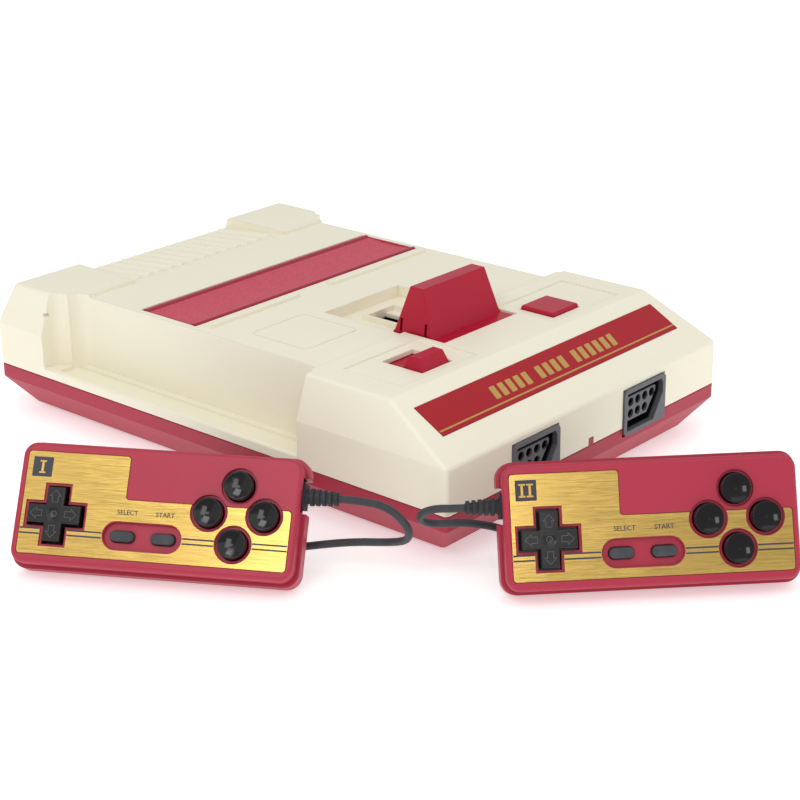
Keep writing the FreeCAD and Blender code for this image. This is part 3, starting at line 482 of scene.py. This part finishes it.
def lead_points(pad):
    """Control points of a whole lead: its route, its coil and its way into the plug's tail."""
    points = list(pad["route"])
    count = int(WINDING[-1][0] * POINTS_PER_TURN)
    points += [winding_point(pad, i / POINTS_PER_TURN) for i in range(count + 1)]
    x, y = pad["coil"]
    side = pad["side"]
    for ahead, z in TAIL_IN:
        points.append((x + side * ahead, y + COIL_OUTER, z))
    return points


def make_tie(shape, pad, at_angle):
    """Band round the coil: a rounded loop about the section of its turns."""
    x, y = pad["coil"]
    loop = rounded_bar(*TIE_LOOP, 5)
    middle, waist = TIE_MIDDLE
    outward = Vector((math.cos(at_angle), math.sin(at_angle), 0))
    across = Vector((-outward.y, outward.x, 0))
    rings = []
    for offset, grow in ((-2.2, 0.0), (-2.2, 0.28), (-0.8, 0.34), (0.8, 0.34), (2.2, 0.28), (2.2, 0.0)):
        ring = []
        for r, z in loop:
            swell_r = grow if r > middle else -grow
            height = z + (grow if z > waist else 0.0)
            spot = Vector((x, y, height)) + outward * (r + swell_r) + across * offset
            ring.append(shape.verts.new(spot))
        rings.append(ring)
    for near, far in zip(rings, rings[1:] + rings[:1]):
        for i in range(len(loop)):
            j = (i + 1) % len(loop)
            shape.faces.new((near[i], near[j], far[j], far[i]))


def make_plug_contacts(shape, pad):
    """Seven round-nosed pins in the hollow of the plug."""
    x, y = pad["coil"]
    side = pad["side"]
    turn = Matrix.Rotation(side * math.pi / 2, 4, "Y")
    for px, pz in POLES:
        middle = x + side * PIN_MIDDLE
        spot = Matrix.Translation((middle, y + COIL_OUTER - side * px, POLE_Z + pz))
        made = bmesh.ops.create_cone(shape, cap_ends=True, segments=16, radius1=PIN_RADIUS,
                                     radius2=PIN_RADIUS, depth=PIN_LENGTH, matrix=spot @ turn)
        nose = {e for v in made["verts"] for e in v.link_edges
                if any(len(f.verts) > 4 for f in e.link_faces) and (v.co.x - middle) * side > 0}
        bmesh.ops.bevel(shape, geom=list(nose), offset=PIN_NOSE, segments=3, affect="EDGES")


# ---- marks ----
def draw_motif(shape):
    """Plain slanted bars in three groups, over a thin line, on the nameplate."""
    low, high = NAMEPLATE_FACE - 0.02, NAMEPLATE_FACE + 0.04
    lean = 1.3
    x = -38.2
    for count in (5, 4, 6):
        for i in range(count):
            foot = rounded_bar(x, x + 3.0, 17.2, 23.2, 0.35, 3)
            prism(shape, [(px + lean * (py - 17.2) / 6.0, py) for px, py in foot], low, high)
            x += 4.7
        x += 3.6
    prism(shape, bar(-73.0, 73.0, 14.5, 15.15), low, high)


def draw_deck_outline(shape):
    """Shallow raised outline of a rounded panel beside the lever."""
    panel = rounded_bar(-59.0, -29.0, -DEPTH / 2 + 91.0, -DEPTH / 2 + 121.0, 3.0)
    outline_strip(shape, panel, 0.5, MID_DECK - 0.05, MID_DECK + 0.14)


def draw_badge(shape):
    prism(shape, rounded_bar(-46.0, -38.8, 9.1, 16.1, 0.3, 3), PLATE_TOP - 0.02, PLATE_TOP + 0.04)


def draw_numeral(shape, count):
    """One or two upright strokes with feet, on the badge."""
    low, high = PLATE_TOP + 0.03, PLATE_TOP + 0.08
    for i in range(count):
        x = -42.4 + 2.7 * (i - (count - 1) / 2)
        prism(shape, bar(x - 0.42, x + 0.42, 10.6, 14.6), low, high)
        for y in (10.3, 14.3):
            prism(shape, bar(x - 1.15, x + 1.15, y, y + 0.55), low, high)


def draw_pinstripes(shape):
    """Two thin lines along the plate, broken by the cross, the trough and the lowest button."""
    spans = [(-47.8, -40.5), (-30.5, -18.0), (10.8, 22.0), (35.6, 47.8)]
    for y in (-9.2, -10.95):
        for x0, x1 in spans:
            prism(shape, bar(x0, x1, y - 0.28, y + 0.28), PLATE_TOP - 0.02, PLATE_TOP + 0.05)


def draw_arrows(shape):
    """Arrow outlines on the arms of the cross and a small ring in its middle."""
    low, high = CROSS_TOP - 0.05, CROSS_TOP + 0.16
    arrow = [(-1.15, 4.0), (1.15, 4.0), (1.15, 6.1), (2.2, 6.1), (0, 8.5), (-2.2, 6.1), (-1.15, 6.1)]
    x, y = CROSS_MIDDLE
    for quarter in range(4):
        turn = Matrix.Rotation(quarter * math.pi / 2, 2)
        placed = [turn @ Vector(p) + Vector((x, y)) for p in arrow]
        outline_strip(shape, placed, 0.26, low, high)
    steps = [math.radians(15 * i) for i in range(24)]
    ring = [(x + 1.15 * math.cos(a), y + 1.15 * math.sin(a)) for a in steps]
    outline_strip(shape, ring, 0.3, CROSS_TOP - 0.6, CROSS_TOP - 0.22)


def draw_word(word, x, y, size):
    """Mesh maker of a short printed word, centred on a place of the plate."""
    def maker(shape):
        text = bpy.data.curves.new(word, "FONT")
        text.body = word
        text.size = size
        text.align_x = "CENTER"
        text.extrude = 0.025
        text.offset = 0.035
        holder = bpy.data.objects.new(word, text)
        bpy.context.scene.collection.objects.link(holder)
        bpy.context.view_layer.update()
        ready = holder.evaluated_get(bpy.context.evaluated_depsgraph_get())
        mesh = bpy.data.meshes.new_from_object(ready)
        mesh.transform(Matrix.Translation((x, y, PLATE_TOP + 0.01)))
        shape.from_mesh(mesh)
        bpy.data.objects.remove(holder)
        bpy.data.meshes.remove(mesh)
    return maker


def give(material, *nodes):
    """Gives CAD nodes a finish."""
    for name in nodes:
        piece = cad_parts[name]
        if not piece.material_slots:
            piece.data.materials.append(material)
        for place in piece.material_slots:
            place.material = material


# ---- settings ----
class ConsoleLooks(bpy.types.PropertyGroup):
    """Sizes and colours of the console."""

    ivory: bpy.props.FloatVectorProperty(
        name="Ivory", description="Colour of the upper case", subtype="COLOR", size=3,
        min=0, max=1, default=paint(244, 239, 218)[:3])
    crimson: bpy.props.FloatVectorProperty(
        name="Crimson", description="Colour of the lower case and the pads", subtype="COLOR", size=3,
        min=0, max=1, default=paint(172, 34, 62)[:3])
    lever: bpy.props.FloatVectorProperty(
        name="Lever", description="Colour of the lever, the switches and the flap", subtype="COLOR",
        size=3, min=0, max=1, default=paint(178, 8, 46)[:3])
    gold: bpy.props.FloatVectorProperty(
        name="Gold", description="Colour of the foil on the pads", subtype="COLOR", size=3,
        min=0, max=1, default=paint(237, 199, 112)[:3])
    lead_diameter: bpy.props.FloatProperty(
        name="Lead diameter", description="Thickness of each pad's lead", subtype="DISTANCE",
        unit="LENGTH", default=0.0028, min=0.001, max=0.006)
    lead_length: bpy.props.FloatProperty(
        name="Lead length", description="Real length of each pad's lead", subtype="DISTANCE",
        unit="LENGTH", default=1.25, min=0.5, max=3.0)
    key_light: bpy.props.FloatProperty(
        name="Key light", description="Power of the large lamp", subtype="POWER", unit="POWER",
        default=3.0, min=0.0, max=500.0)


class ConsoleStep:
    """What every step of the making shares."""

    bl_options = {"REGISTER", "UNDO"}

    def execute(self, context):
        self.make(context.scene.console_looks)
        return {"FINISHED"}


class CONSOLE_OT_camera(ConsoleStep, bpy.types.Operator):
    """Camera in front of the console's left corner, a little above it"""

    bl_idname = "console_looks.camera"
    bl_label = "Camera"

    def make(self, looks):
        target = Vector((-30.66, -54.25, 29.83)) * MM
        azimuth = math.radians(-48.628)
        elevation = math.radians(21.568)
        roll = math.radians(-0.758)
        distance = 0.7526
        back = Vector((math.sin(azimuth) * math.cos(elevation),
                       -math.cos(azimuth) * math.cos(elevation), math.sin(elevation)))
        right = Vector((math.cos(azimuth), math.sin(azimuth), 0))
        up = back.cross(right)
        across = right * math.cos(roll) + up * math.sin(roll)
        upward = up * math.cos(roll) - right * math.sin(roll)
        camera = bpy.data.objects.new("camera", bpy.data.cameras.new("camera"))
        camera.data.lens = 87.713
        camera.data.sensor_width = 36
        camera.data.clip_start = 0.01
        turn = Matrix((across, upward, back)).transposed().to_4x4()
        camera.matrix_world = Matrix.Translation(target + back * distance) @ turn
        bpy.context.scene.collection.objects.link(camera)
        bpy.context.scene.camera = camera


class CONSOLE_OT_leads(ConsoleStep, bpy.types.Operator):
    """Lead of each pad, from its gland round its coil to its plug, with the coil's ties"""

    bl_idname = "console_looks.leads"
    bl_label = "Pad leads"

    def make(self, looks):
        jacket = rubber("lead_jacket", paint(50, 52, 57), 0.5, 0.1)
        tie_finish = rubber("tie_rubber", paint(28, 29, 31), 0.8, 0.1)
        brass = metal("plug_brass", paint(205, 165, 95), 0.25, (900.0, 900.0, 4000.0))
        for name, pad in PADS.items():
            matrix = floor_matrix(pad)
            curve = bpy.data.curves.new(name + "_cord", "CURVE")
            curve.dimensions = "3D"
            curve.bevel_depth = looks.lead_diameter / 2
            curve.bevel_resolution = 5
            curve.resolution_u = 6
            curve.use_fill_caps = True
            points = [matrix @ Vector(p) for p in lead_points(pad)]
            spline = curve.splines.new("NURBS")
            spline.points.add(len(points) - 1)
            for point, place in zip(spline.points, points):
                point.co = (*place, 1.0)
            spline.order_u = 3
            spline.use_endpoint_u = True
            curve.materials.append(jacket)
            lead = bpy.data.objects.new(name + "_cord", curve)
            bpy.context.scene.collection.objects.link(lead)
            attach(lead, name)
            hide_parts(name + "_lead", name + "_coil")
            for i, angle in enumerate(TIE_ANGLES):
                def tie(shape, pad=pad, angle=angle):
                    make_tie(shape, pad, math.radians(angle))
                piece = make_piece(f"{name}_tie_{i + 1}", tie, matrix, tie_finish, name)

            def contacts(shape, pad=pad):
                make_plug_contacts(shape, pad)
            pins = make_piece(name + "_plug_contacts", contacts, matrix, brass, name)


class CONSOLE_OT_case(ConsoleStep, bpy.types.Operator):
    """Finishes of the two cases, the feet and the screws"""

    bl_idname = "console_looks.case"
    bl_label = "Cases"

    def make(self, looks):
        ivory = moulded("case_ivory", looks.ivory, 0.016, 2.2, (0.36, 0.5), 0.5, 0.3, 0.018)
        crimson = moulded("case_crimson", looks.crimson, 0.02, 2.2, (0.4, 0.55), 0.5, 0.25, 0.06)
        give(ivory, "upper_case")
        give(crimson, "lower_case")
        give(rubber("foot_rubber", paint(38, 38, 40)), "feet")
        give(metal("screw_steel", paint(178, 180, 184), 0.3, (3000.0, 3000.0, 400.0)), "case_screws")


class CONSOLE_OT_controls(ConsoleStep, bpy.types.Operator):
    """Finishes of the lever, the power slider, the reset button and the flap"""

    bl_idname = "console_looks.controls"
    bl_label = "Controls"

    def make(self, looks):
        lever = moulded("lever_crimson", looks.lever, 0.024, 2.0, (0.26, 0.42), 0.35, 0.45, 0.06,
                        Specular_IOR_Level=0.3)
        give(lever, "eject_lever", "power_slider", "reset_button")
        give(flap_finish(looks.lever), "flap")
        give(metal("pin_steel", paint(170, 172, 176), 0.25, (300.0, 4000.0, 4000.0)), "flap_pin")


class CONSOLE_OT_sockets(ConsoleStep, bpy.types.Operator):
    """Finishes of the pad ports and the sockets in the back"""

    bl_idname = "console_looks.sockets"
    bl_label = "Sockets"

    def make(self, looks):
        give(port_finish(), "ports", "port_inserts")
        black = moulded("core_black", paint(22, 22, 24), 0.01, 2.8, (0.3, 0.42), 0.15, 0.5)
        give(black, "dc_jack", "cartridge_connector", "switch_bracket")
        gilt = metal("contact_gilt", paint(214, 172, 90), 0.22, (4000.0, 4000.0, 500.0))
        give(gilt, "port_pins", "connector_contacts")
        nickel = metal("socket_nickel", paint(196, 194, 186), 0.2, (4000.0, 500.0, 4000.0))
        give(nickel, "av_jacks", "power_switch", "reset_switch")


class CONSOLE_OT_inside(ConsoleStep, bpy.types.Operator):
    """Finishes of the boards and what stands on them"""

    bl_idname = "console_looks.inside"
    bl_label = "Inside"

    def make(self, looks):
        give(laminate("board_green"), "main_board", "pad_1_board", "pad_2_board")
        give(moulded("chip_black", paint(30, 31, 33), 0.01, 3.0, (0.5, 0.65), 0.2, 0.2), "board_components")
        give(metal("sink_aluminium", paint(190, 192, 196), 0.35, (400.0, 400.0, 5000.0)), "heat_sink")
        give(moulded("ejector_grey", paint(120, 121, 124), 0.02, 2.4, (0.4, 0.55), 0.3, 0.2), "ejector")
        mat_rubber = rubber("membrane_rubber", paint(96, 98, 102), 0.65, 0.2)
        give(mat_rubber, "pad_1_membrane", "pad_2_membrane")


class CONSOLE_OT_pads(ConsoleStep, bpy.types.Operator):
    """Finishes of both pads"""

    bl_idname = "console_looks.pads"
    bl_label = "Pads"

    def make(self, looks):
        shell = moulded("pad_crimson", looks.crimson, 0.016, 2.6, (0.34, 0.48), 0.4, 0.35, 0.05)
        cross = moulded("cross_black", paint(15, 15, 18), 0.01, 2.8, (0.14, 0.26), 0.3, 0.9, 0.1)
        button = polished("button_black", paint(8, 8, 11), 0.06, 0.35, Specular_IOR_Level=0.35)
        pills = rubber("pill_rubber", paint(62, 64, 68), 0.75, 0.35)
        relief = rubber("relief_rubber", paint(40, 42, 46), 0.55, 0.25)
        plug = moulded("plug_black", paint(34, 35, 38), 0.02, 2.4, (0.4, 0.55), 0.4, 0.35)
        screws = metal("pad_screw_steel", paint(176, 178, 182), 0.3, (3000.0, 3000.0, 3000.0))
        axle = moulded("axle_grey", paint(150, 150, 152), 0.01, 2.4, (0.35, 0.45), 0.15, 0.2)
        for name, pad in PADS.items():
            give(shell, name + "_front_shell", name + "_back_shell")
            give(brushed_gold(name + "_foil", looks.gold, pad), name + "_face_plate")
            give(cross, name + "_cross")
            give(axle, name + "_cross_pivot")
            give(button, *(f"{name}_button_{way}" for way in ("up", "left", "right", "down")))
            give(pills, name + "_select", name + "_start")
            give(relief, name + "_relief")
            give(plug, name + "_plug")
            give(screws, name + "_screws")


class CONSOLE_OT_nameplate(ConsoleStep, bpy.types.Operator):
    """Red plate on the leaning front with a gold motif of plain bars"""

    bl_idname = "console_looks.nameplate"
    bl_label = "Nameplate"

    def make(self, looks):
        plate = moulded("nameplate_red", paint(168, 20, 34), 0.008, 3.4, (0.34, 0.46), 0.15, 0.2, 0.03,
                        Specular_IOR_Level=0.25)
        give(plate, "nameplate")
        gold = printed("nameplate_gold", paint(202, 164, 86), 0.35, 0.36)
        make_piece("nameplate_motif", draw_motif, slope_matrix(), gold, "console")


class CONSOLE_OT_deck_outline(ConsoleStep, bpy.types.Operator):
    """Shallow outline on the deck beside the lever"""

    bl_idname = "console_looks.deck_outline"
    bl_label = "Deck outline"

    def make(self, looks):
        ivory = bpy.data.materials["case_ivory"]
        make_piece("deck_outline", draw_deck_outline, Matrix.Scale(MM, 4), ivory, "console")


class CONSOLE_OT_pad_prints(ConsoleStep, bpy.types.Operator):
    """Badge, stripes and key words printed on each pad's foil"""

    bl_idname = "console_looks.pad_prints"
    bl_label = "Pad prints"

    def make(self, looks):
        ink = printed("pad_ink", paint(52, 54, 66), 0.0, 0.35)
        gilt = printed("pad_gilt", paint(222, 180, 92), 0.6, 0.3)
        for name, pad in PADS.items():
            matrix = face_matrix(pad)
            make_piece(name + "_badge", draw_badge, matrix, ink, name)

            def numeral(shape, count=pad["numeral"]):
                draw_numeral(shape, count)
            make_piece(name + "_numeral", numeral, matrix, gilt, name)
            make_piece(name + "_stripes", draw_pinstripes, matrix, ink, name)
            for word, x in (("SELECT", -9.6), ("START", 3.9)):
                label = draw_word(word, x, -2.3, 2.3)
                make_piece(f"{name}_{word.lower()}_label", label, matrix, ink, name)


class CONSOLE_OT_arrows(ConsoleStep, bpy.types.Operator):
    """Raised arrow outlines on the arms of each cross, black lines given a lighter grey as a painted
    highlight
    """

    bl_idname = "console_looks.arrows"
    bl_label = "Cross arrows"

    def make(self, looks):
        # painted highlight: the cross's black moulded lines coloured a lighter grey
        grey = moulded("arrow_painted_highlight", paint(74, 75, 80), 0.01, 2.8, (0.2, 0.3), 0.1, 0.6)
        for name, pad in PADS.items():
            make_piece(name + "_arrows", draw_arrows, face_matrix(pad), grey, name + "_cross_body")


class CONSOLE_OT_stage(ConsoleStep, bpy.types.Operator):
    """Pale floor, soft lamps and a pale surround"""

    bl_idname = "console_looks.stage"
    bl_label = "Stage"

    def make(self, looks):
        scene = bpy.context.scene
        ground = Finish("stage_floor", Specular_IOR_Level=0.2, Emission_Strength=0.45)
        cloud = ground.noise(ground.place(), 0.004, 2.0)
        pale = ground.mix(cloud, paint(243, 243, 243), paint(247, 247, 247))
        ground.feed("Base Color", pale)
        ground.feed("Roughness", 0.7 + 0.1 * cloud)
        ground.feed("Emission Color", pale)
        mesh = bpy.data.meshes.new("stage_floor")
        shape = bmesh.new()
        bmesh.ops.create_circle(shape, cap_ends=True, segments=96, radius=12.0)
        shape.to_mesh(mesh)
        shape.free()
        mesh.materials.append(ground.material)
        floor = bpy.data.objects.new("stage_floor", mesh)
        floor.location.z = -0.0004
        scene.collection.objects.link(floor)
        key = looks.key_light
        lamps = [("key", key, (-0.55, -0.75, 1.35), (1.3, 0.9), (1.0, 0.985, 0.96)),
                 ("top", key * 0.4, (0.25, 0.35, 1.5), (1.6, 1.2), (1.0, 1.0, 1.0)),
                 ("side", key * 0.3, (-1.3, 0.35, 0.8), (0.9, 0.9), (1.0, 0.97, 0.93)),
                 ("front", key * 0.45, (0.5, -1.3, 0.45), (0.9, 0.6), (1.0, 0.99, 0.97)),
                 ("window", key * 0.35, (-0.78, -0.12, 0.98), (0.24, 0.24), (1.0, 0.99, 0.97)),
                 ("left_foil", key * 0.2, (-0.86, -0.32, 0.69), (0.16, 0.3), (1.0, 0.98, 0.95)),
                 ("right_foil", key * 0.12, (-0.68, -0.83, 0.54), (0.12, 0.2), (1.0, 0.98, 0.95))]
        for name, power, place, size, colour in lamps:
            lamp = bpy.data.lights.new(name + "_lamp", "AREA")
            lamp.shape = "RECTANGLE"
            lamp.energy = power
            lamp.size, lamp.size_y = size
            lamp.color = colour
            holder = bpy.data.objects.new(name + "_lamp", lamp)
            holder.location = place
            aim = Vector((-0.04, -0.06, 0.02)) - Vector(place)
            holder.rotation_euler = aim.to_track_quat("-Z", "Y").to_euler()
            scene.collection.objects.link(holder)
        world = bpy.data.worlds.new("surround")
        world.use_nodes = True
        nodes = world.node_tree.nodes
        links = world.node_tree.links
        place = nodes.new("ShaderNodeTexCoord")
        split = nodes.new("ShaderNodeSeparateXYZ")
        ramp = nodes.new("ShaderNodeValToRGB")
        ramp.color_ramp.elements[0].position = 0.0
        ramp.color_ramp.elements[0].color = (0.86, 0.86, 0.86, 1)
        ramp.color_ramp.elements[1].position = 0.75
        ramp.color_ramp.elements[1].color = (1, 1, 1, 1)
        links.new(place.outputs["Generated"], split.inputs[0])
        links.new(split.outputs["Z"], ramp.inputs[0])
        links.new(ramp.outputs[0], nodes["Background"].inputs["Color"])
        nodes["Background"].inputs["Strength"].default_value = 0.7
        scene.world = world
        scene.view_settings.view_transform = "Standard"
        scene.view_settings.look = "None"


class CONSOLE_PT_steps(bpy.types.Panel):
    """The console's steps and settings"""

    bl_label = "Game console"
    bl_space_type = "VIEW_3D"
    bl_region_type = "UI"
    bl_category = "Console"

    def draw(self, context):
        looks = context.scene.console_looks
        for field in ConsoleLooks.__annotations__:
            self.layout.prop(looks, field)
        for step in STEPS:
            self.layout.operator(step.bl_idname)


STEPS = (CONSOLE_OT_camera, CONSOLE_OT_leads, CONSOLE_OT_case, CONSOLE_OT_controls, CONSOLE_OT_sockets,
         CONSOLE_OT_inside, CONSOLE_OT_pads, CONSOLE_OT_nameplate, CONSOLE_OT_deck_outline,
         CONSOLE_OT_pad_prints, CONSOLE_OT_arrows, CONSOLE_OT_stage)
CLASSES = (ConsoleLooks, *STEPS, CONSOLE_PT_steps)


def register():
    for made in CLASSES:
        bpy.utils.register_class(made)
    bpy.types.Scene.console_looks = bpy.props.PointerProperty(type=ConsoleLooks)


def unregister():
    del bpy.types.Scene.console_looks
    for made in reversed(CLASSES):
        bpy.utils.unregister_class(made)


def main():
    register()
    for step in STEPS:
        getattr(bpy.ops.console_looks, step.bl_idname.split(".")[1])()


if __name__ == "__main__":
    main()
